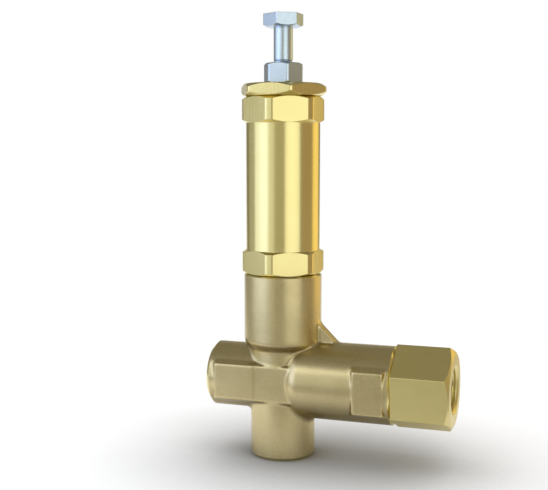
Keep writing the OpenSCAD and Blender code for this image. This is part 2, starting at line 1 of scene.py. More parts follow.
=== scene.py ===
"""Looks of a brass pressure relief valve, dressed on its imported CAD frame.

Sizes below are in millimetres, in the CAD frame: the origin is the centre of the bypass port's face,
+Z runs up the spring housing, +X points out of the outlet and -Y is the front.
Blender's own units are metres, so meshes are scaled by MM when they are made.
"""

import json
import math

import bpy
import numpy as np
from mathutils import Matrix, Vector


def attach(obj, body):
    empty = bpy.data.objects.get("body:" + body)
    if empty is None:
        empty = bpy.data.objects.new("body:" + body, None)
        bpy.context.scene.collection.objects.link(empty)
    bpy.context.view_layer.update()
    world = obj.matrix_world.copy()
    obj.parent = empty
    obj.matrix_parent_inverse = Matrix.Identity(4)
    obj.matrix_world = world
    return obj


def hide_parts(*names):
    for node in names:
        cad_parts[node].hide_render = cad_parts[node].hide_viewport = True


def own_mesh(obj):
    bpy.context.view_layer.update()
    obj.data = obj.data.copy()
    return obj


MM = 0.001

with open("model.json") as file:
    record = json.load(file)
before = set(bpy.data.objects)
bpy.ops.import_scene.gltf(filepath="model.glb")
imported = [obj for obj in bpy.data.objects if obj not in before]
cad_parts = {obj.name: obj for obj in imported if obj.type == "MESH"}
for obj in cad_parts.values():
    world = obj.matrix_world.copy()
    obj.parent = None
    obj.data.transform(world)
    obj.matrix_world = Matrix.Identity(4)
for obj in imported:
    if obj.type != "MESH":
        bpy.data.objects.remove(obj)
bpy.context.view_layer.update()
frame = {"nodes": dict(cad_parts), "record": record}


# Sizes shared with the CAD model; only panel_x, where a pad's lower panel starts, is this scene's own

ARM_Z = 38.4
NECK_R, NECK_BEVEL = 15.7, 1.6
COLUMN_R, COLUMN_TOP = 18.9, 90.3
INLET_R, INLET_END, INLET_BEVEL = 15.9, -34.9, 1.6
OUTLET_R, OUTLET_START, OUTLET_END, OUTLET_ROUND, OUTLET_BEVEL = 18.85, 5.6, 57.6, 6.5, 1.2
RIB_REACH, RIB_T = 47.1, 6.0
PAD_PROUD, PAD_DROP, PAD_DRAFT = 0.35, 0.7, math.radians(20)
INLET_PAD = dict(x0=-30.2, x1=12.1, height=17.5, reach=INLET_R + PAD_PROUD, panel_x=-10.0)
OUTLET_PAD = dict(x0=39.8, x1=54.0, height=20.5, reach=OUTLET_R + PAD_PROUD, panel_x=60.0)

PORT_R, PORT_DEPTH, PORT_CONE = 10.48, 15.5, 1.5
WAY_R, THROAT_R = 7.5, 5.5
JOINT_R = 15.0
SEAT_Z, SEAT_TOP, SEAT_R, CHAMBER_R, GUIDE_Z, GUIDE_R = 22.0, 28.0, 9.0, 9.6, 53.5, 11.0
FLANGE_Z, FLANGE_R, STUB_Z = 72.3, 13.2, 76.5
CHECK_X, CHECK_END, CHECK_R, CHECK_ROOM_R, FITTING_NOSE = 18.0, 22.5, 11.0, 12.0, 43.6

HOUSING_AF, HOUSING_CORNER_R, HOUSING_TURN = 36.0, 19.9, 28.7
LOWER_HEX_TOP, TUBE_R, TUBE_TOP, HOUSING_TOP = 102.1, 17.9, 163.2, 175.7
STUB_BORE_R, FLOOR_Z, SPRING_ROOM_R, PLUG_Z, PLUG_R = 9.0, 91.5, 13.7, 163.4, 14.3
CAP_AF, CAP_CORNER_R, CAP_TURN, CAP_TOP = 38.0, 21.6, 58.0, 181.7
NUT_AF, NUT_TURN, NUT_TOP = 17.0, 1.2, 191.5
SCREW_R, SHANK_R, SCREW_PITCH, SCREW_TIP, THREAD_END = 5.0, 4.6, 1.5, 149.5, 192.9
HEAD_AF, HEAD_TURN, HEAD_Z, HEAD_TOP = 17.0, 29.4, 208.4, 214.6
FITTING_AF, FITTING_TURN, FITTING_EASE, FITTING_END, FITTING_WEB = 36.0, 6.6, 1.0, 84.8, 47.6
FITTING_WAY_R, STEM_HOLE_R, FLOW_R, FLOW_AT, FLOW_HOLES = 9.0, 3.04, 2.3, 6.74, 6
GROOVE_W, GROOVE_DEPTH = 2.2, 1.86
GROOVE_X = OUTLET_END - GROOVE_W
HEX_EASE, HEX_BEVEL, NUT_CORNER = 0.5, math.tan(math.radians(30)), 0.25
THREAD_FIT, BORE_GAP, END_BEVEL = 0.05, 0.3, 0.6

MAIN_SPRING = dict(z0=97.5, z1=147.0, mean_r=10.5, wire_r=2.4, turns=7.0)
CHECK_SPRING = dict(z0=27.5, z1=43.6, mean_r=5.0, wire_r=0.5, turns=6.5)
SPRING_END_GAP = 0.6

# Sizes of this scene alone: the column's shoulder as the photograph has it, 1.4 mm higher than the CAD's
# and a little tighter, the threads, finer bevels and small rounds of edges, and the steps of round cutters

COLUMN_LOW, COLUMN_ROUND = 55.2, 2.8
PORT_BEVEL, PORT_PITCH, PORT_THREAD = 1.1, 1.814, 1.16
SCREW_THREAD = 0.61
CAP_HOLE_BEVEL, NUT_HOLE_BEVEL = 0.9, 0.7
NUT_EASE, HEAD_CORNER, FITTING_CORNER = 0.35, 0.1, 0.12
BAR_SOFT, STEEL_SOFT, FITTING_SOFT = 0.28, 0.2, 0.25
ROUND_STEPS, HOLE_STEPS, HOLE_OVER = 120, 32, 1


# Meshes

def new_mesh(name, verts, faces):
    """A new mesh from points in millimetres."""
    mesh = bpy.data.meshes.new(name)
    mesh.from_pydata([tuple(v) for v in np.asarray(verts, float) * MM], [], [tuple(f) for f in faces])
    return mesh


def new_object(name, data):
    """A new object in the scene."""
    made = bpy.data.objects.new(name, data)
    bpy.context.scene.collection.objects.link(made)
    return made


def add_piece(name, verts, faces, body, slot, replaced=()):
    """A new mesh object from points in millimetres, riding on a CAD body."""
    mesh = new_mesh(name, verts, faces)
    mesh.validate()
    mesh.shade_smooth()
    piece = new_object(name, mesh)
    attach(piece, body)
    if replaced:
        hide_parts(*replaced)
    return piece


def along_x(verts):
    """Turns points drawn along Z so that Z becomes +X, on the arms' axis."""
    v = np.asarray(verts, float)
    return np.stack([v[:, 2], v[:, 1], ARM_Z - v[:, 0]], 1)


def soften(path, radius, steps=3, most=0.4):
    """Path of [radius, height] points whose corners between its ends are replaced by small arcs.
    An arc takes no more than a share of each side."""
    pts = np.asarray(path, float)
    out = [pts[0]]
    for a, b, c in zip(pts, pts[1:], pts[2:]):
        la, lc = np.linalg.norm(a - b), np.linalg.norm(c - b)
        back = min(radius, most * la, most * lc)
        p, q = b + (a - b) / max(la, 1e-9) * back, b + (c - b) / max(lc, 1e-9) * back
        for t in np.linspace(0, 1, steps + 1):
            out.append((1 - t) ** 2 * p + 2 * t * (1 - t) * b + t * t * q)
    out.append(pts[-1])
    return np.array(out)


def revolve(profile, angles):
    """Closed skin from a profile of [radius, height] that may change with the angle in degrees.
    The profile is a closed loop, or starts and ends on the axis."""
    rings = [np.asarray(profile(a), float) for a in angles]
    count, n = len(rings[0]), len(angles)
    radians = np.radians(angles)
    verts = np.concatenate([
        np.stack([r[:, 0] * math.cos(t), r[:, 0] * math.sin(t), r[:, 1]], 1) for r, t in zip(rings, radians)
    ])
    on_axis = rings[0][0, 0] < 1e-6
    spans = count - 1 if on_axis else count
    faces = []
    for i in range(n):
        j = (i + 1) % n
        for k in range(spans):
            m = (k + 1) % count
            quad = [i * count + k, j * count + k, j * count + m, i * count + m]
            if on_axis and k == 0:
                quad = [0, j * count + m, i * count + m]
            elif on_axis and k == spans - 1:
                quad = [i * count + k, j * count + k, count - 1]
            faces.append(quad)
    return verts, faces


def circle_angles(n):
    """Even angles around a circle, in degrees."""
    return np.arange(n) * 360 / n


def hex_angles(af, corner_r, turn, flat_steps=29, corner_steps=4):
    """Angles around a hexagon: its flats, and the turned corners between them."""
    edge = math.degrees(math.acos(af / 2 / corner_r))
    side = np.concatenate([
        np.linspace(-30, -edge, corner_steps), np.linspace(-edge, edge, flat_steps)[1:-1],
        np.linspace(edge, 30, corner_steps)[:-1],
    ])
    return np.sort(np.concatenate([turn + 30 + 60 * k + side for k in range(6)]) % 360)


def hex_corner(af, eased):
    """Radius of a hexagon's corners after they are turned down a little."""
    return af / 2 / math.cos(math.radians(30)) - eased


def hex_radius(angle, af, corner_r, turn):
    """Distance from the axis to a hexagon's side, with its corners turned down."""
    off = (angle - turn) % 60 - 30
    flat = af / 2 / math.cos(math.radians(off))
    return min(flat, corner_r)


def bar_rims(angle, af, corner_r, turn, z0, z1, inner0, inner1, least=0.05):
    """Outline of a hexagon bar with bevelled rims, from radius inner0 at z0 to inner1 at z1."""
    r = hex_radius(angle, af, corner_r, turn)
    return [
        [inner0, z0], [r, z0 + max(r - inner0, least) * HEX_BEVEL],
        [r, z1 - max(r - inner1, least) * HEX_BEVEL], [inner1, z1],
    ]


def helix_ridge(root_r, crest_r, pitch, z0, z1, steps=40, foot=0.46, top=0.10, fade=0.6):
    """One screw thread ridge between two heights, fading out over part of a turn at both ends."""
    turns = (z1 - z0) / pitch - 2 * foot
    n = int(turns * steps)
    t = np.linspace(0, turns, n + 1)
    grow = np.clip(np.minimum(t, turns - t) / fade, 0, 1)
    crest = root_r + (crest_r - root_r) * grow
    middle = z0 + pitch * (foot + t)
    section = [(np.full_like(t, root_r), -foot), (crest, -top), (crest, top), (np.full_like(t, root_r), foot)]
    a = 2 * math.pi * t
    verts = np.stack([
        np.stack([r * np.cos(a), r * np.sin(a), middle + shift * pitch], 1) for r, shift in section
    ], 1).reshape(-1, 3)
    flip = crest_r < root_r
    faces = []
    for i in range(n):
        for k in range(4):
            m = (k + 1) % 4
            quad = [4 * i + k, 4 * i + 4 + k, 4 * i + 4 + m, 4 * i + m]
            faces.append(quad[::-1] if flip else quad)
    ends = [[3, 2, 1, 0], [4 * n, 4 * n + 1, 4 * n + 2, 4 * n + 3]]
    faces += [e[::-1] if not flip else e for e in ends]
    return verts, faces


def joined(*meshes):
    """Several point and face lists as one."""
    verts, faces, base = [], [], 0
    for v, f in meshes:
        verts.append(np.asarray(v, float))
        faces += [[base + i for i in face] for face in f]
        base += len(v)
    return np.concatenate(verts), faces


def coil(z0, z1, mean_r, wire_r, turns, steps=40, sides=14):
    """One unbroken spring wire with a closer turn at each end."""
    end_pitch = 2 * wire_r + SPRING_END_GAP
    pitch = (z1 - z0 - 2 * wire_r - 2 * end_pitch) / (turns - 2)
    t = np.linspace(0, turns, int(turns * steps) + 1)
    rise = np.interp(t, [0, 1, turns - 1, turns], np.cumsum([0, end_pitch, pitch * (turns - 2), end_pitch]))
    a = 2 * math.pi * t
    b = 2 * math.pi * np.arange(sides) / sides
    r = mean_r + wire_r * np.cos(b)
    verts = np.stack([
        np.outer(np.cos(a), r), np.outer(np.sin(a), r),
        (z0 + wire_r + rise)[:, None] + wire_r * np.sin(b)[None, :],
    ], 2).reshape(-1, 3)
    faces = [
        [i * sides + k, i * sides + (k + 1) % sides, (i + 1) * sides + (k + 1) % sides, (i + 1) * sides + k]
        for i in range(len(t) - 1) for k in range(sides)
    ]
    last = (len(t) - 1) * sides
    faces += [list(range(sides))[::-1], list(range(last, last + sides))]
    return verts, faces


def weigh_normals(piece, sharp_angle=38, weight=80):
    """Keeps flats flat and small edge rounds smooth."""
    piece.data.set_sharp_from_angle(angle=math.radians(sharp_angle))
    weigh = piece.modifiers.new("flat faces", "WEIGHTED_NORMAL")
    weigh.keep_sharp = True
    weigh.weight = weight


def mark_flats(piece, af, along=2, slack=0.01):
    """Gives a bar's flats the piece's second material."""
    mesh = piece.data
    normals, centres = np.zeros(len(mesh.polygons) * 3), np.zeros(len(mesh.polygons) * 3)
    mesh.polygons.foreach_get("normal", normals)
    mesh.polygons.foreach_get("center", centres)
    normals, centres = normals.reshape(-1, 3), centres.reshape(-1, 3) / MM
    if along == 0:
        centres[:, 2] -= ARM_Z
    reach = (normals * centres).sum(1) - normals[:, along] * centres[:, along]
    flat = (np.abs(normals[:, along]) < slack) & (np.abs(reach - af / 2) < slack)
    mesh.polygons.foreach_set("material_index", flat.astype(np.int32))


def cut(piece, verts, faces):
    """Takes a closed shape out of a piece for good."""
    mesh = new_mesh("cutter", verts, faces)
    cutter = new_object("cutter", mesh)
    step = piece.modifiers.new("cut", "BOOLEAN")
    step.operation = "DIFFERENCE"
    step.solver = "MANIFOLD"
    step.object = cutter
    graph = bpy.context.evaluated_depsgraph_get()
    made = bpy.data.meshes.new_from_object(piece.evaluated_get(graph))
    piece.modifiers.remove(step)
    piece.data = made
    bpy.data.objects.remove(cutter)
    bpy.data.meshes.remove(mesh)


# The forged body, as a field of signed distances that a skin is drawn on

GRID = 0.5
GRID_LOW = np.array([-38.0, -21.5, -4.0])
GRID_HIGH = np.array([61.0, 21.5, 94.0])
NECK_FILLET, ARM_FILLET, RIB_FILLET, STEP_FILLET = 2.4, 2.2, 0.7, 1.2
LEAST_FILLET = 0.02
FLASH_HEIGHT, FLASH_WIDTH = 0.12, 0.7
PANEL_STEP = 0.22
OVERLONG, OVERLAP, HIDDEN_EDGE = 12, 6, 1
SOFTENINGS = 2
RELAX_ROUNDS, SNAPS = 4, 2
CUT_OVER, FACING_OVER, FACING_REACH = 2, 3, 8
BARE_DEPTH, BODY_SHARP = 0.08, math.radians(32)
PORT_THREAD_START, PORT_THREAD_STOP, PORT_THREAD_SINK = 1.0, 0.6, 0.04


def round_cylinder(radial, along, r, low, high, edge):
    """Signed distance to a cylinder with rounded rims."""
    a = radial - (r - edge)
    b = np.abs(along - (low + high) / 2) - ((high - low) / 2 - edge)
    return np.minimum(np.maximum(a, b), 0) + np.hypot(np.maximum(a, 0), np.maximum(b, 0)) - edge


def blend(a, b, radius):
    """Union of two distance fields with a round fillet between them."""
    inside = np.hypot(np.maximum(radius - a, 0), np.maximum(radius - b, 0))
    return np.maximum(radius, np.minimum(a, b)) - inside


def softened(field, times):
    """Rounds all edges of a distance field a little."""
    for _ in range(times):
        for axis in range(3):
            padded = np.concatenate([field.take([0], axis), field, field.take([-1], axis)], axis)
            n = field.shape[axis]
            field = (padded.take(range(n), axis) + 2 * field + padded.take(range(2, n + 2), axis)) / 4
    return field


def pad_field(x, y, z, x0, x1, height, reach, panel_x):
    """Front and back pad with leaning sides, and a bare panel that lies a little lower past panel_x."""
    lean = np.maximum(reach - np.abs(y), 0) * math.tan(PAD_DRAFT)
    side = (np.abs(z + PAD_DROP) - height / 2 - lean) * math.cos(PAD_DRAFT)
    ends = (np.abs(x - (x0 + x1) / 2) - (x1 - x0) / 2 - lean) * math.cos(PAD_DRAFT)
    face = np.abs(y) - reach + PANEL_STEP * np.clip((x - panel_x) / GRID, 0, 1)
    return np.maximum(np.maximum(face, side), ends)


def body_field(x, y, z):
    """Signed distance to the body's outer form, with its ends left too long."""
    z = z - ARM_Z
    upright_r, arm_r = np.hypot(x, y), np.hypot(y, z)
    column = round_cylinder(upright_r, z + ARM_Z, COLUMN_R, COLUMN_LOW, COLUMN_TOP + OVERLONG, COLUMN_ROUND)
    neck = round_cylinder(upright_r, z + ARM_Z, NECK_R, -OVERLONG, COLUMN_LOW + OVERLAP, HIDDEN_EDGE)
    inlet_stop = OUTLET_START + OUTLET_ROUND
    inlet = round_cylinder(arm_r, x, INLET_R, INLET_END - OVERLONG, inlet_stop, HIDDEN_EDGE)
    outlet = round_cylinder(arm_r, x, OUTLET_R, OUTLET_START, OUTLET_END + OVERLONG, OUTLET_ROUND)
    upright, arms = blend(column, neck, NECK_FILLET), blend(inlet, outlet, STEP_FILLET)
    # no fillet where the crossing cylinders run side by side
    side_by_side = y * y / np.maximum(upright_r * arm_r, 1)
    body = blend(upright, arms, ARM_FILLET * np.clip(1 - side_by_side, 0, 1) + LEAST_FILLET)
    rib_slope = (x + z - RIB_REACH) / math.sqrt(2)
    rib = np.maximum(np.maximum(np.abs(y) - RIB_T / 2, rib_slope), np.maximum(-x, -z))
    body = blend(body, rib, RIB_FILLET)
    for pad in (INLET_PAD, OUTLET_PAD):
        body = np.minimum(body, pad_field(x, y, z, **pad))
    body = softened(body, SOFTENINGS)
    return body - FLASH_HEIGHT * np.exp(-(y / FLASH_WIDTH) ** 4)


def sample(field, points):
    """Values of a grid at points given in grid steps, linear between its corners."""
    low = np.clip(np.floor(points).astype(int), 0, np.array(field.shape) - 2)
    t = points - low
    total = np.zeros(len(points))
    for corner in np.ndindex(2, 2, 2):
        weight = np.prod(np.where(np.array(corner), t, 1 - t), axis=1)
        total += weight * field[tuple((low + corner).T)]
    return total


def skin(field):
    """Quads on the zero level of a grid of signed distances, in grid steps."""
    inside = field < 0
    low = [slice(0, n - 1) for n in field.shape]
    high = [slice(1, n) for n in field.shape]
    filled = sum(
        inside[tuple(high[a] if c else low[a] for a, c in enumerate(corner))].astype(np.int8)
        for corner in np.ndindex(2, 2, 2)
    )
    crossed = (filled > 0) & (filled < 8)
    index = np.full(crossed.shape, -1)
    index[crossed] = np.arange(crossed.sum())
    points = np.argwhere(crossed) + 0.5
    quads = []
    for axis in range(3):
        a, cells = np.moveaxis(inside, axis, 0), np.moveaxis(index, axis, 0)
        i, j, k = np.nonzero((a[:-1] != a[1:])[:, 1:-1, 1:-1])
        j, k = j + 1, k + 1
        around = ((j - 1, k - 1), (j, k - 1), (j, k), (j - 1, k))
        quad = np.stack([cells[i, b, c] for b, c in around], 1)
        outward = a[i, j, k] == (axis != 1)
        quads.append(np.where(outward[:, None], quad, quad[:, ::-1]))
    quads = np.concatenate(quads)
    slope = np.gradient(field)
    for _ in range(RELAX_ROUNDS):
        ring = np.zeros_like(points)
        weight = np.zeros(len(points))
        for k in range(4):
            for m in (1, 3):
                np.add.at(ring, quads[:, k], points[quads[:, (k + m) % 4]])
                np.add.at(weight, quads[:, k], 1)
        points = 0.5 * points + 0.5 * ring / weight[:, None]
        for _ in range(SNAPS):
            g = np.stack([sample(s, points) for s in slope], 1)
            points -= sample(field, points)[:, None] * g / np.maximum((g * g).sum(1), 1e-6)[:, None]
    return points, quads


def facing(r, bevel, end, inward):
    """Cutter that faces the end of a round arm and bevels its rim."""
    wide, outside = r + FACING_OVER, end - FACING_REACH * inward
    rim = end + (bevel + wide - r) * inward
    path = [[0, outside], [wide, outside], [wide, rim], [r - bevel, end], [0, end]]
    return path if inward > 0 else path[::-1]


def port_mouth(end, inward):
    """Profile points of a threaded port from outside its bevelled mouth to its cone's start."""
    mouth_r, outside = PORT_R + PORT_BEVEL, end - CUT_OVER * inward
    return [[0, outside], [mouth_r, outside], [mouth_r, end],
            [PORT_R, end + PORT_BEVEL * inward], [PORT_R, end + PORT_DEPTH * inward]]


MAIN_BORE = port_mouth(0, 1) + [
    [THROAT_R, PORT_DEPTH + PORT_CONE], [THROAT_R, SEAT_Z], [SEAT_R, SEAT_Z], [SEAT_R, SEAT_TOP],
    [CHAMBER_R, SEAT_TOP], [CHAMBER_R, GUIDE_Z], [GUIDE_R, GUIDE_Z], [GUIDE_R, FLANGE_Z],
    [FLANGE_R, FLANGE_Z], [FLANGE_R, STUB_Z], [JOINT_R, STUB_Z],
    [JOINT_R, COLUMN_TOP + CUT_OVER], [0, COLUMN_TOP + CUT_OVER],
]
ARM_BORE = port_mouth(INLET_END, 1) + [
    [WAY_R, INLET_END + PORT_DEPTH + PORT_CONE], [WAY_R, CHECK_X],
    [CHECK_R, CHECK_X], [CHECK_R, CHECK_END], [CHECK_ROOM_R, CHECK_END],
    [CHECK_ROOM_R, FITTING_NOSE - BORE_GAP], [JOINT_R, FITTING_NOSE - BORE_GAP],
    [JOINT_R, OUTLET_END + CUT_OVER], [0, OUTLET_END + CUT_OVER],
]


def make_body():
    """Skin of the body's field, with its ends faced and its bores cut."""
    steps = [np.arange(lo, hi + GRID / 2, GRID) for lo, hi in zip(GRID_LOW, GRID_HIGH)]
    field = body_field(*np.meshgrid(*steps, indexing="ij"))
    # the grid's outer layer counts as air, so that the skin closes there
    for axis in range(3):
        layers = np.moveaxis(field, axis, 0)
        layers[0] = layers[-1] = GRID
    points, quads = skin(field)
    points = GRID_LOW + points * GRID
    body = add_piece("forged_body", points, quads, "valve", "forged_brass", ["valve_body"])
    neck_end, column_end = facing(NECK_R, NECK_BEVEL, 0, 1), facing(COLUMN_R, END_BEVEL, COLUMN_TOP, -1)
    inlet_end = facing(INLET_R, INLET_BEVEL, INLET_END, 1)
    outlet_end = facing(OUTLET_R, OUTLET_BEVEL, OUTLET_END, -1)
    around = circle_angles(ROUND_STEPS)
    for path in (neck_end, column_end, MAIN_BORE):
        cut(body, *revolve(lambda a: path, around))
    for path in (inlet_end, outlet_end, ARM_BORE):
        verts, faces = revolve(lambda a: path, around)
        cut(body, along_x(verts), faces)
    # faces that the cutters made are bare metal, the rest is blasted skin
    mesh = body.data
    centres = np.zeros(len(mesh.polygons) * 3)
    mesh.polygons.foreach_get("center", centres)
    depth = sample(field, (centres.reshape(-1, 3) / MM - GRID_LOW) / GRID)
    mesh.polygons.foreach_set("material_index", (depth < -BARE_DEPTH).astype(np.int32))
    mesh.shade_smooth()
    mesh.set_sharp_from_angle(angle=BODY_SHARP)
    return body


def port_thread(end, inward):
    """Female thread ridge of a port, drawn along Z."""
    z0, z1 = sorted((end + PORT_THREAD_START * inward, end + (PORT_DEPTH - PORT_THREAD_STOP) * inward))
    return helix_ridge(PORT_R + PORT_THREAD_SINK, PORT_R - PORT_THREAD, PORT_PITCH, z0, z1)


def make_port_threads():
    """Thread ridges of the three ports, which the CAD has as plain bores."""
    bypass = port_thread(0, 1)
    inlet, outlet = port_thread(INLET_END, 1), port_thread(FITTING_END, -1)
    return [
        add_piece("bypass_thread", *bypass, "valve", "turned_brass"),
        add_piece("inlet_thread", along_x(inlet[0]), inlet[1], "valve", "turned_brass"),
        add_piece("outlet_thread", along_x(outlet[0]), outlet[1], "valve", "turned_brass"),
    ]


def make_housing():
    """Tube with a hexagon at each end, and its bore."""
    face_r = HOUSING_AF / 2 - HEX_EASE
    stub_r = JOINT_R - THREAD_FIT

    def profile(angle):
        args = (angle, HOUSING_AF, HOUSING_CORNER_R, HOUSING_TURN)
        lower = bar_rims(*args, COLUMN_TOP, LOWER_HEX_TOP, face_r, TUBE_R)
        upper = bar_rims(*args, TUBE_TOP, HOUSING_TOP, TUBE_R, face_r)
        outer = soften([
            [STUB_BORE_R, STUB_Z], [stub_r - END_BEVEL, STUB_Z], [stub_r, STUB_Z + END_BEVEL],
            [stub_r, COLUMN_TOP], *lower, *upper, [PLUG_R, HOUSING_TOP], [PLUG_R, PLUG_Z - BORE_GAP],
        ], BAR_SOFT)
        inner = [[SPRING_ROOM_R, PLUG_Z - BORE_GAP], [SPRING_ROOM_R, FLOOR_Z], [STUB_BORE_R, FLOOR_Z]]
        return np.concatenate([outer, inner])

    bar = revolve(profile, hex_angles(HOUSING_AF, HOUSING_CORNER_R, HOUSING_TURN))
    piece = add_piece("dressed_housing", *bar, "valve", "turned_brass", ["spring_housing"])
    mark_flats(piece, HOUSING_AF)
    weigh_normals(piece)
    return piece


def make_cap():
    """Thin hexagon with a plug below it and the screw's hole."""
    face_r = CAP_AF / 2 - HEX_EASE
    hole_r, plug_r = SCREW_R + THREAD_FIT, PLUG_R - THREAD_FIT
    hole_low, hole_high = PLUG_Z + 8, CAP_TOP - 1.6

    def profile(angle):
        rims = bar_rims(angle, CAP_AF, CAP_CORNER_R, CAP_TURN, HOUSING_TOP, CAP_TOP, face_r, face_r)
        return soften([
            [hole_r, hole_low], [hole_r, PLUG_Z], [plug_r - END_BEVEL, PLUG_Z], [plug_r, PLUG_Z + END_BEVEL],
            [plug_r, HOUSING_TOP], *rims, [hole_r + CAP_HOLE_BEVEL, CAP_TOP],
            [hole_r, CAP_TOP - CAP_HOLE_BEVEL], [hole_r, hole_high],
        ], BAR_SOFT)

    bar = revolve(profile, hex_angles(CAP_AF, CAP_CORNER_R, CAP_TURN))
    piece = add_piece("dressed_cap", *bar, "valve", "turned_brass", ["top_cap"])
    mark_flats(piece, CAP_AF)
    weigh_normals(piece)
    return piece


def make_nut():
    """Hexagon nut with both rims and both ends of its hole bevelled."""
    face_r, corner_r = NUT_AF / 2 - NUT_EASE, hex_corner(NUT_AF, NUT_CORNER)
    hole_r, hole_low, hole_high = SCREW_R + THREAD_FIT, CAP_TOP + 2, NUT_TOP - 2
    mouth_r = hole_r + NUT_HOLE_BEVEL

    def profile(angle):
        rims = bar_rims(angle, NUT_AF, corner_r, NUT_TURN, CAP_TOP, NUT_TOP, face_r, face_r)
        return soften([
            [hole_r, hole_low], [hole_r, CAP_TOP + NUT_HOLE_BEVEL], [mouth_r, CAP_TOP], *rims,
            [mouth_r, NUT_TOP], [hole_r, NUT_TOP - NUT_HOLE_BEVEL], [hole_r, hole_high],
        ], STEEL_SOFT)

    bar = revolve(profile, hex_angles(NUT_AF, corner_r, NUT_TURN))
    piece = add_piece("dressed_nut", *bar, "nut", "plated_steel", ["lock_nut"])
    weigh_normals(piece)
    return piece


def make_screw():
    """Hexagon head screw: a core at the thread's root, the thread's ridge and a smooth shank."""
    face_r, corner_r = HEAD_AF / 2 - HEX_EASE, hex_corner(HEAD_AF, HEAD_CORNER)
    root_r = SCREW_R - SCREW_THREAD * SCREW_PITCH
    tip_r, tip_bevel, run_out = root_r - 0.4, 0.5, 0.8
    ridge_low, ridge_high, ridge_sink = SCREW_TIP + 0.3, THREAD_END + 0.4, 0.02

    def profile(angle):
        r = hex_radius(angle, HEAD_AF, corner_r, HEAD_TURN)
        return soften([
            [0, SCREW_TIP], [tip_r, SCREW_TIP], [root_r, SCREW_TIP + tip_bevel],
            [root_r, THREAD_END - run_out], [SHANK_R, THREAD_END], [SHANK_R, HEAD_Z], [face_r, HEAD_Z],
            [r, HEAD_Z + (r - face_r) * HEX_BEVEL], [r, HEAD_TOP], [0, HEAD_TOP],
        ], STEEL_SOFT)

    core = revolve(profile, hex_angles(HEAD_AF, corner_r, HEAD_TURN))
    thread = helix_ridge(root_r - ridge_sink, SCREW_R, SCREW_PITCH, ridge_low, ridge_high)
    piece = add_piece("dressed_screw", *joined(core, thread), "screw", "plated_steel", ["adjusting_screw"])
    weigh_normals(piece)
    return piece


def make_fitting():
    """Hexagon fitting in the outlet arm, with its port and the web that guides the check poppet."""
    face_r, corner_r = FITTING_AF / 2 - FITTING_EASE, hex_corner(FITTING_AF, FITTING_CORNER)
    thread_r, groove_r = JOINT_R - THREAD_FIT, JOINT_R - GROOVE_DEPTH
    groove_low, groove_high = GROOVE_X - GROOVE_W / 2, GROOVE_X + GROOVE_W / 2

    def profile(angle):
        r = hex_radius(angle, FITTING_AF, corner_r, FITTING_TURN)
        return soften([
            [STEM_HOLE_R, FITTING_NOSE], [thread_r - END_BEVEL, FITTING_NOSE],
            [thread_r, FITTING_NOSE + END_BEVEL], [thread_r, groove_low], [groove_r, groove_low],
            [groove_r, groove_high], [thread_r, groove_high], [thread_r, OUTLET_END],
            [r, OUTLET_END], [r, FITTING_END - (r - face_r) * HEX_BEVEL], [face_r, FITTING_END],
            [PORT_R + PORT_BEVEL, FITTING_END], [PORT_R, FITTING_END - PORT_BEVEL],
            [PORT_R, FITTING_END - PORT_DEPTH], [FITTING_WAY_R, FITTING_END - PORT_DEPTH - PORT_CONE],
            [FITTING_WAY_R, FITTING_WEB], [STEM_HOLE_R, FITTING_WEB],
        ], FITTING_SOFT)

    verts, faces = revolve(profile, hex_angles(FITTING_AF, corner_r, FITTING_TURN))
    piece = add_piece("dressed_fitting", along_x(verts), faces, "valve", "turned_brass", ["outlet_fitting"])
    hole_low, hole_high = FITTING_NOSE - HOLE_OVER, FITTING_WEB + HOLE_OVER
    path = [[0, hole_low], [FLOW_R, hole_low], [FLOW_R, hole_high], [0, hole_high]]
    hole, hole_faces = revolve(lambda angle: path, circle_angles(HOLE_STEPS))
    for k in range(FLOW_HOLES):
        a = 2 * math.pi * k / FLOW_HOLES
        cut(piece, along_x(hole + [FLOW_AT * math.cos(a), FLOW_AT * math.sin(a), 0]), hole_faces)
    piece.data.shade_smooth()
    mark_flats(piece, FITTING_AF, along=0)
    weigh_normals(piece)
    return piece


def make_springs():
    """Wound wires in place of the CAD's coarser ones."""
    main = add_piece("setting_spring", *coil(**MAIN_SPRING), "valve", "spring_steel", ["main_spring"])
    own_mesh(main)
    verts, faces = coil(**CHECK_SPRING)
    check = add_piece("return_spring", along_x(verts), faces, "valve", "spring_steel", ["check_spring"])
    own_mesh(check)
    return [main, check]


# Materials

# heights about the shoulder between which shade is painted on its underside: from none to all, and from all
# to none
SHOULDER_SHADE_STARTS, SHOULDER_SHADE_ENDS = (COLUMN_LOW - 3, COLUMN_LOW - 1.5), (COLUMN_LOW + 1.6, COLUMN_LOW + 2.8)


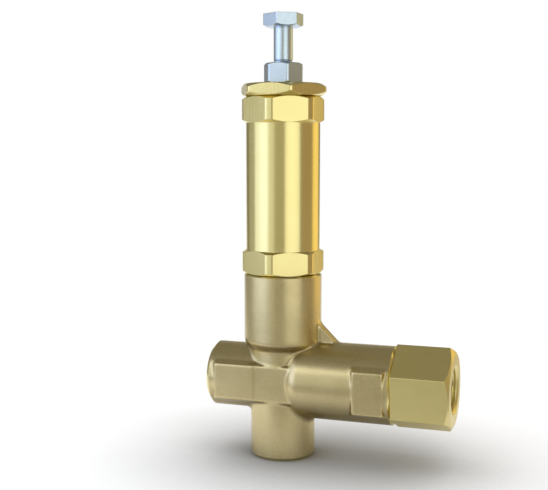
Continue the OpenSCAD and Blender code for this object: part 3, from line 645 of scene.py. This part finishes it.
class Nodes:
    """A node tree with the few kinds of node that the finishes and the stage need."""

    def __init__(self, tree):
        self.tree = tree
        self.coordinates = self.node("ShaderNodeTexCoord").outputs

    def node(self, kind, **settings):
        made = self.tree.nodes.new(kind)
        for key, value in settings.items():
            setattr(made, key, value)
        return made

    def link(self, source, target):
        self.tree.links.new(source, target)

    def ramp(self, source, low, high, start=0.3, end=0.7, smooth=False):
        """Maps a value between start and end to two colours or numbers."""
        if isinstance(low, (int, float)):
            kind = "SMOOTHSTEP" if smooth else "LINEAR"
            ranged = self.node("ShaderNodeMapRange", interpolation_type=kind)
            for name, value in (("From Min", start), ("From Max", end), ("To Min", low), ("To Max", high)):
                ranged.inputs[name].default_value = value
            self.link(source, ranged.inputs["Value"])
            return ranged.outputs["Result"]
        ramp = self.node("ShaderNodeValToRGB")
        for element, place, colour in zip(ramp.color_ramp.elements, (start, end), (low, high)):
            element.position = place
            element.color = (*colour, 1)
        self.link(source, ramp.inputs["Fac"])
        return ramp.outputs["Color"]

    def mix(self, a, b, share):
        """Mixes two colours, each a socket or numbers, by a number or a value socket."""
        mix = self.node("ShaderNodeMixRGB")
        for name, value in (("Color1", a), ("Color2", b), ("Fac", share)):
            if isinstance(value, bpy.types.NodeSocket):
                self.link(value, mix.inputs[name])
            else:
                mix.inputs[name].default_value = (*value, 1) if isinstance(value, tuple) else value
        return mix.outputs["Color"]

    def calc(self, operation, a, b=0.0):
        """One sum of two numbers or value sockets."""
        node = self.node("ShaderNodeMath", operation=operation)
        for socket, value in zip(node.inputs, (a, b)):
            if isinstance(value, bpy.types.NodeSocket):
                self.link(value, socket)
            else:
                socket.default_value = value
        return node.outputs[0]

    def along(self, place, direction):
        """How far a place lies along a direction."""
        dot = self.node("ShaderNodeVectorMath", operation="DOT_PRODUCT")
        dot.inputs[1].default_value = direction
        self.link(place, dot.inputs[0])
        return dot.outputs["Value"]

    def seen(self):
        """1 for rays from the camera and from mirrors and glass, 0 for those that light a surface."""
        path = self.node("ShaderNodeLightPath").outputs
        mirrored = self.calc("MAXIMUM", path["Is Glossy Ray"], path["Is Transmission Ray"])
        return self.calc("MAXIMUM", path["Is Camera Ray"], mirrored)


class Shader(Nodes):
    """A node material around one Principled surface."""

    def __init__(self, name, **sockets):
        self.material = bpy.data.materials.new(name)
        self.material.use_nodes = True
        super().__init__(self.material.node_tree)
        self.surface = self.tree.nodes["Principled BSDF"]
        for socket, value in sockets.items():
            self.surface.inputs[socket.replace("_", " ")].default_value = value
        self.place = self.coordinates["Object"]

    def noise(self, size, stretch=(1, 1, 1), detail=3.0):
        """Noise with features of about size metres, stretched along the axes."""
        spread = self.node("ShaderNodeMapping")
        spread.inputs["Scale"].default_value = stretch
        self.link(self.place, spread.inputs["Vector"])
        noise = self.node("ShaderNodeTexNoise")
        noise.inputs["Scale"].default_value = 1 / size
        noise.inputs["Detail"].default_value = detail
        self.link(spread.outputs["Vector"], noise.inputs["Vector"])
        return noise.outputs["Fac"]

    def bump(self, *layers):
        """Stacks bumps given as (height socket, depth in metres)."""
        normal = None
        for height, depth in layers:
            bump = self.node("ShaderNodeBump")
            bump.inputs["Strength"].default_value = 1.0
            bump.inputs["Distance"].default_value = depth
            self.link(height, bump.inputs["Height"])
            if normal is not None:
                self.link(normal, bump.inputs["Normal"])
            normal = bump.outputs["Normal"]
        self.link(normal, self.surface.inputs["Normal"])


def blasted_brass():
    """Satin brass of a blasted forging, rubbed brighter on its edges, with painted shade: darker in its
    concave corners and on its undersides, and most of all under its shoulder."""
    s = Shader("blasted_brass", Metallic=1.0)
    patches = s.ramp(s.noise(0.014), (0.64, 0.535, 0.285), (0.73, 0.62, 0.345))
    specks = s.ramp(s.noise(0.0009), (0.58, 0.485, 0.25), (0.76, 0.65, 0.38))
    skin_tone = s.mix(patches, specks, 0.3)
    surface = s.node("ShaderNodeNewGeometry").outputs
    relief, height = surface["Pointiness"], s.along(s.place, (0, 0, 1 / MM))
    rubbed = s.ramp(s.noise(0.003), (0.76, 0.645, 0.37), (0.85, 0.74, 0.47))
    # painted shade: a dark brass tone that stands in for the shade in corners, on undersides and under the
    # shoulder
    painted_shade = s.ramp(s.noise(0.002), (0.26, 0.20, 0.095), (0.36, 0.285, 0.14))
    edged = s.mix(skin_tone, rubbed, s.ramp(relief, 0.0, 0.8, 0.52, 0.60))
    # painted shade in concave corners, where the pointiness is low
    corner_shaded = s.mix(painted_shade, edged, s.ramp(relief, 0.25, 1.0, 0.468, 0.494))
    shoulder = s.calc("MULTIPLY", s.ramp(height, 0.0, 1.0, *SHOULDER_SHADE_STARTS),
                      s.ramp(height, 1.0, 0.0, *SHOULDER_SHADE_ENDS))
    downward = s.along(surface["Normal"], (0, 0, -1))
    # painted shade on the shoulder's underside
    shoulder_shade_mask = s.calc("MULTIPLY", shoulder, s.ramp(downward, 0.0, 1.0, 0.05, 0.4))
    shoulder_shaded = s.mix(corner_shaded, painted_shade, shoulder_shade_mask)
    # painted shade on surfaces that face downward
    below = s.ramp(downward, 0.0, 0.55, 0.25, 0.9, True)
    s.link(s.mix(shoulder_shaded, painted_shade, below), s.surface.inputs["Base Color"])
    s.link(s.ramp(s.noise(0.0009), 0.28, 0.37), s.surface.inputs["Roughness"])
    s.bump((s.noise(0.009, detail=1.0), 0.00010), (s.noise(0.0005), 0.00002))
    return s.material


def turned_brass(name, stretch, low=0.19, high=0.25):
    """Bright brass with fine tool lines across the axis on which stretch is 1."""
    s = Shader(name, Metallic=1.0)
    lines = s.noise(0.00035, stretch)
    tone = s.ramp(s.noise(0.02), (0.80, 0.69, 0.305), (0.84, 0.735, 0.345))
    marks = s.ramp(lines, (0.77, 0.66, 0.285), (0.86, 0.755, 0.37))
    s.link(s.mix(tone, marks, 0.3), s.surface.inputs["Base Color"])
    s.link(s.ramp(lines, low, high), s.surface.inputs["Roughness"])
    s.bump((lines, 0.000002))
    return s.material


def plated_steel():
    """Bluish zinc plating with faint cloudiness."""
    s = Shader("plated_steel", Metallic=1.0)
    haze = s.ramp(s.noise(0.005), (0.54, 0.65, 0.79), (0.60, 0.70, 0.79))
    grains = s.ramp(s.noise(0.0004), (0.52, 0.63, 0.76), (0.66, 0.75, 0.83))
    s.link(s.mix(haze, grains, 0.3), s.surface.inputs["Base Color"])
    s.link(s.ramp(s.noise(0.0015), 0.27, 0.35), s.surface.inputs["Roughness"])
    s.bump((s.noise(0.0012), 0.000006), (s.noise(0.0003), 0.000002))
    return s.material


def inner_steel(name, dark, light, roughness):
    """Turned steel of the inner pieces, with fine lines around the upright axis."""
    s = Shader(name, Metallic=1.0)
    lines = s.noise(0.0006, (0.05, 0.05, 1))
    s.link(s.ramp(lines, dark, light), s.surface.inputs["Base Color"])
    s.link(s.ramp(s.noise(0.002), roughness - 0.05, roughness + 0.06), s.surface.inputs["Roughness"])
    s.bump((lines, 0.000008))
    return s.material


def seal(name, dark, light):
    """Rubber or plastic of the rings, with a faint grain."""
    s = Shader(name, Metallic=0.0)
    s.link(s.ramp(s.noise(0.0015), dark, light), s.surface.inputs["Base Color"])
    s.link(s.ramp(s.noise(0.0008), 0.48, 0.62), s.surface.inputs["Roughness"])
    s.bump((s.noise(0.0003), 0.00001))
    return s.material


def dress(piece, *materials):
    """Gives a piece its materials, and keeps which face has which."""
    mesh = piece.data
    which = np.zeros(len(mesh.polygons), np.int32)
    mesh.polygons.foreach_get("material_index", which)
    mesh.materials.clear()
    for m in materials:
        mesh.materials.append(m)
    if which.any():
        mesh.polygons.foreach_set("material_index", which)


# The object

skin_brass = blasted_brass()
bar_brass = turned_brass("turned_brass", (0.015, 0.015, 1))
flat_brass = turned_brass("drawn_flats", (1, 1, 0.03), 0.21, 0.28)
arm_brass = turned_brass("turned_brass_arm", (1, 0.015, 0.015), 0.36, 0.44)
arm_flat_brass = turned_brass("drawn_flats_arm", (0.03, 1, 1), 0.40, 0.48)
bolt_steel = plated_steel()
stainless = inner_steel("stainless", (0.52, 0.53, 0.54), (0.66, 0.67, 0.68), 0.3)
spring_steel = inner_steel("spring_steel", (0.10, 0.10, 0.11), (0.20, 0.20, 0.22), 0.4)
seal_rubber = seal("seal_rubber", (0.012, 0.012, 0.012), (0.03, 0.03, 0.03))
ring_plastic = seal("ring_plastic", (0.74, 0.72, 0.64), (0.84, 0.83, 0.78))

dress(make_body(), skin_brass, bar_brass)
for thread in make_port_threads():
    dress(thread, bar_brass)
dress(make_housing(), bar_brass, flat_brass)
dress(make_cap(), bar_brass, flat_brass)
dress(make_fitting(), arm_brass, arm_flat_brass)
dress(make_nut(), bolt_steel)
dress(make_screw(), bolt_steel)
for spring in make_springs():
    dress(spring, spring_steel)

finish_of_slot = {
    "forged_brass": skin_brass, "turned_brass": bar_brass, "plated_steel": bolt_steel, "stainless": stainless,
    "spring_steel": spring_steel, "seal_rubber": seal_rubber, "ring_plastic": ring_plastic,
}
for part in frame["record"]["subparts"]:
    dress(frame["nodes"][part["node"]], finish_of_slot[part["material_slot"]])


# Camera, fitted to the photograph's outline

IMAGE_W, FOCAL_PX = 548, 1000
CAMERA_AT, CAMERA_AIM = (153.87, -460.48, 154.92), (-4.69, 0, 103.73)
camera = new_object("camera", bpy.data.cameras.new("camera"))
camera.data.sensor_fit = "HORIZONTAL"
camera.data.sensor_width = 36
camera.data.lens = FOCAL_PX / IMAGE_W * camera.data.sensor_width
camera.location = Vector(CAMERA_AT) * MM
aim = Vector(CAMERA_AIM) * MM
camera.rotation_euler = (aim - camera.location).to_track_quat("-Z", "Y").to_euler()
camera.data.clip_start, camera.data.clip_end = 0.01, 20
bpy.context.scene.camera = camera


# Floor, white background and studio light

AWAY = Vector((aim.x - camera.location.x, aim.y - camera.location.y, 0)).normalized()
ASIDE = Vector((AWAY.y, -AWAY.x, 0))
STUDIO, WHITE = (0.25, 0.235, 0.19), (1.0, 1.0, 1.0)
FLOOR_HALF = 8.0
FLOOR_PAINT, PAPER_PAINT = (0.8, 0.8, 0.8), (0.35, 0.35, 0.35)
FLOOR_GLOW, PAPER_GLOW = (0.05, 0.047, 0.038), (0.912, 0.918, 0.934)
PAPER_FRONT, PAPER_FRONT_FADE = -0.058, 0.035
SIDE_START, SIDE_WHITE, SIDE_DIM = 0.5017, 0.281, 0.36
SKY_WHITE, SKY_DIM = 0.16, 0.40
SHADE_REACH, SHADE_TIMES = 0.10, 3


def white_between_sides(s, away, side):
    """1 where a place or direction lies in the wedge that the picture shows, fading to 0 on both sides."""
    slant = s.calc("DIVIDE", s.calc("ABSOLUTE", side), away)
    return s.ramp(slant, 1.0, 0.0, SIDE_WHITE, SIDE_DIM, True)


def add_floor():
    """Pale floor with a white paper that runs away under the object, and the object's shadow on both."""
    s = Shader("floor_white", Roughness=1.0)
    s.surface.inputs["Specular IOR Level"].default_value = 0
    depth = s.along(s.place, AWAY)
    side = s.calc("SUBTRACT", s.along(s.place, ASIDE), aim.dot(ASIDE))
    behind_front = s.ramp(depth, 0.0, 1.0, PAPER_FRONT - PAPER_FRONT_FADE, PAPER_FRONT, True)
    between_sides = white_between_sides(s, s.calc("ADD", depth, SIDE_START), side)
    white = s.calc("MULTIPLY", behind_front, between_sides)
    shade = s.node("ShaderNodeAmbientOcclusion")
    shade.inputs["Distance"].default_value = SHADE_REACH
    strength = s.seen()
    for _ in range(SHADE_TIMES):
        strength = s.calc("MULTIPLY", strength, shade.outputs["AO"])
    s.link(s.mix(FLOOR_PAINT, PAPER_PAINT, white), s.surface.inputs["Base Color"])
    glow = s.node("ShaderNodeEmission")
    s.link(s.mix(FLOOR_GLOW, PAPER_GLOW, white), glow.inputs["Color"])
    s.link(strength, glow.inputs["Strength"])
    both = s.node("ShaderNodeAddShader")
    s.link(s.surface.outputs["BSDF"], both.inputs[0])
    s.link(glow.outputs["Emission"], both.inputs[1])
    s.link(both.outputs["Shader"], s.tree.nodes["Material Output"].inputs["Surface"])
    mesh = bpy.data.meshes.new("floor")
    h = FLOOR_HALF
    mesh.from_pydata([(-h, -h, 0), (h, -h, 0), (h, h, 0), (-h, h, 0)], [], [(0, 1, 2, 3)])
    mesh.materials.append(s.material)
    floor = new_object("floor", mesh)


def add_world():
    """Dim even studio, white low behind the object."""
    world = bpy.data.worlds.new("studio")
    world.use_nodes = True
    s = Nodes(world.node_tree)
    ray = s.coordinates["Generated"]
    away = s.along(ray, AWAY)
    white = s.calc("MULTIPLY", white_between_sides(s, away, s.along(ray, ASIDE)),
                   s.ramp(s.along(ray, (0, 0, 1)), 1.0, 0.0, SKY_WHITE, SKY_DIM, True))
    behind = s.calc("MULTIPLY", white, s.calc("GREATER_THAN", away, 0.0))
    sky = s.tree.nodes["Background"]
    s.link(s.mix(STUDIO, WHITE, s.calc("MULTIPLY", behind, s.seen())), sky.inputs["Color"])
    bpy.context.scene.world = world


# a narrowed beam is brighter by its gain at the same power
BEAM, BEAM_GAIN = math.radians(140), 1.65
BEAM_POWER = math.pi / BEAM_GAIN
LAMP_TALL, LAMP_DISTANCE = 0.42, 0.42


def add_softbox(name, azimuth, spread, strength, colour, tall=LAMP_TALL, distance=LAMP_DISTANCE, foot=0.0):
    """Upright area light at an azimuth in degrees from the front towards +X, with its foot at a height."""
    width = 2 * distance * math.tan(math.radians(spread / 2))
    light = bpy.data.lights.new(name, "AREA")
    light.shape = "RECTANGLE"
    light.size, light.size_y = width, tall
    light.energy = strength * width * tall * BEAM_POWER
    light.spread = BEAM
    light.color = colour
    lamp = new_object(name, light)
    a = math.radians(azimuth)
    lamp.location = (distance * math.sin(a), -distance * math.cos(a), foot + tall / 2)
    towards = Vector((0, 0, foot + tall / 2)) - lamp.location
    lamp.rotation_euler = towards.to_track_quat("-Z", "Y").to_euler()
    lamp.visible_camera = False


add_floor()
add_world()
# each lamp's name, azimuth, spread as seen from the object, strength and colour
add_softbox("left_box", -43, 30, 1.7, (0.64, 0.73, 1.0))
add_softbox("left_wing", -68, 20, 1.22, (0.68, 0.78, 1.0))
add_softbox("left_card", -95, 30, 0.22, (0.90, 0.95, 1.0))
add_softbox("front_card", -18, 20, 0.58, (0.92, 0.98, 1.0))
add_softbox("upper_card", -18, 30, 1.4, (0.95, 0.97, 1.0), tall=0.16, distance=0.40, foot=0.26)
add_softbox("camera_card", 6, 26, 0.20, (1.0, 0.96, 0.72))
add_softbox("right_box", 47, 47, 1.05, (0.97, 1.0, 0.96))
add_softbox("side_card", 97, 42, 0.15, (1.0, 0.50, 0.05))
add_softbox("warm_card", 139, 37, 0.90, (1.0, 0.72, 0.20))

bpy.context.scene.view_settings.view_transform = "Standard"
